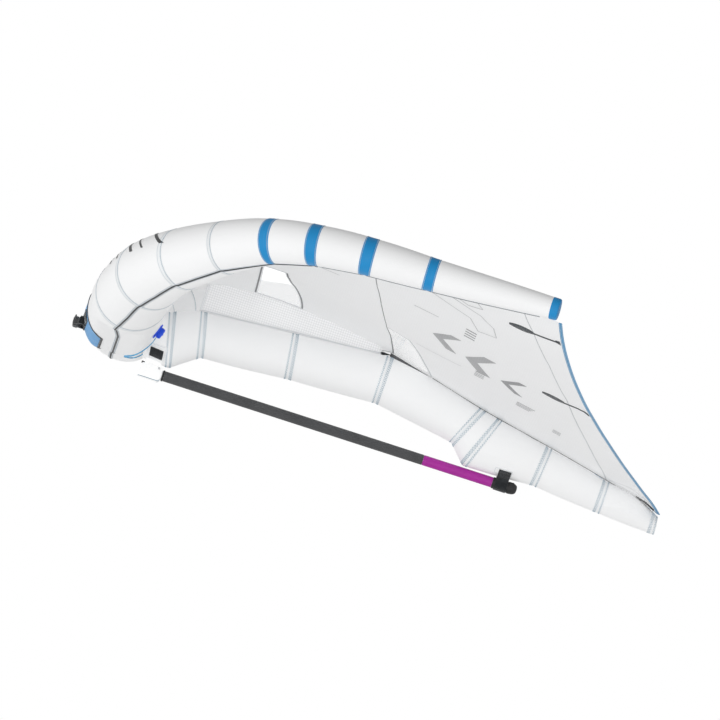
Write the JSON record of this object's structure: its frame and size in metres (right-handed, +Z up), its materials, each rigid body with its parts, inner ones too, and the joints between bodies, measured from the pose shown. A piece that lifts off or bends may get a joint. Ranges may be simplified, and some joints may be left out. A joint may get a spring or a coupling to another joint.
{
  "type": "wingfoil wing",
  "caption": "Hand-held inflatable foil wing: inflated leading edge and strut, canopy with clear windows, and a rigid boom below the strut.",
  "frame": {"origin": "boom_grip: the point on the boom's axis, in the centre plane, where the hands hold the wing", "axes": "+X towards the wing tip that has the inflation valve, +Y along the boom towards the trailing edge, +Z up from the boom to the strut; the nose points to -Y"},
  "size_m": [3.0754, 2.145, 0.6076],
  "materials": {
    "sleeve_white": "satin",
    "canopy_white": "satin",
    "web_scrim": "satin",
    "window_film": "gloss",
    "band_blue": "satin",
    "nose_blue": "matte",
    "webbing_black": "matte",
    "batten_grey": "matte",
    "grip_grey": "matte",
    "tail_purple": "satin",
    "tube_alloy": "satin",
    "fitting_black": "satin",
    "fitting_white": "satin",
    "valve_blue": "satin"
  },
  "bodies": {
    "boom": {"front_socket": "fitting_white", "boom_tube": "tube_alloy", "boom_grip": "grip_grey", "boom_collar": "fitting_black"},
    "tail": {"boom_inner_tube": "tube_alloy", "boom_tail": "tail_purple", "boom_end_cap": "fitting_black", "rear_strap": "webbing_black"},
    "wing": {"leading_edge": "sleeve_white", "tip_cap_right": "band_blue", "tip_cap_left": "band_blue", "strut": "sleeve_white", "canopy_right": "canopy_white", "canopy_left": "canopy_white", "window_front_right": "window_film", "window_front_left": "window_film", "window_rear_right": "window_film", "window_rear_left": "window_film", "strut_web": "web_scrim", "trailing_edge_tape_right": "band_blue", "trailing_edge_tape_left": "band_blue", "batten_outer_right": "batten_grey", "batten_outer_left": "batten_grey", "batten_inner_right": "batten_grey", "batten_inner_left": "batten_grey", "batten_patch_outer_right": "batten_grey", "batten_patch_outer_left": "batten_grey", "batten_patch_inner_right": "batten_grey", "batten_patch_inner_left": "batten_grey", "tail_patch_right": "batten_grey", "tail_patch_left": "batten_grey", "nose_patch": "nose_blue", "nose_patch_border": "webbing_black", "nose_handle_base": "webbing_black", "valve_flange": "valve_blue", "front_patch_right": "sleeve_white", "front_patch_left": "sleeve_white", "front_keeper_right": "webbing_black", "front_keeper_left": "webbing_black", "rear_patch_right": "sleeve_white", "rear_patch_left": "sleeve_white"},
    "handle": {"nose_handle": "webbing_black"},
    "valve": {"valve_cap": "valve_blue"}
  },
  "joints": [
    {"name": "wing_swing", "type": "hinge", "parent": "boom", "child": "wing", "pos_m": [0, -0.522, 0.0312], "axis": [1, 0, 0], "range_deg": [0, 60]},
    {"name": "tail_slide", "type": "slide", "parent": "boom", "child": "tail", "axis": [0, 1, 0], "range_m": [0, 0.12]},
    {"name": "handle_flop", "type": "hinge", "parent": "wing", "child": "handle", "pos_m": [0, -0.77, 0.09], "axis": [1, 0, 0], "range_deg": [-30, 30]},
    {"name": "valve_turn", "type": "hinge", "parent": "wing", "child": "valve", "pos_m": [0.35999, -0.64211, 0.13664], "axis": [0.0058, 0.9456, -0.3254], "range_deg": [0, 90]}
  ]
}
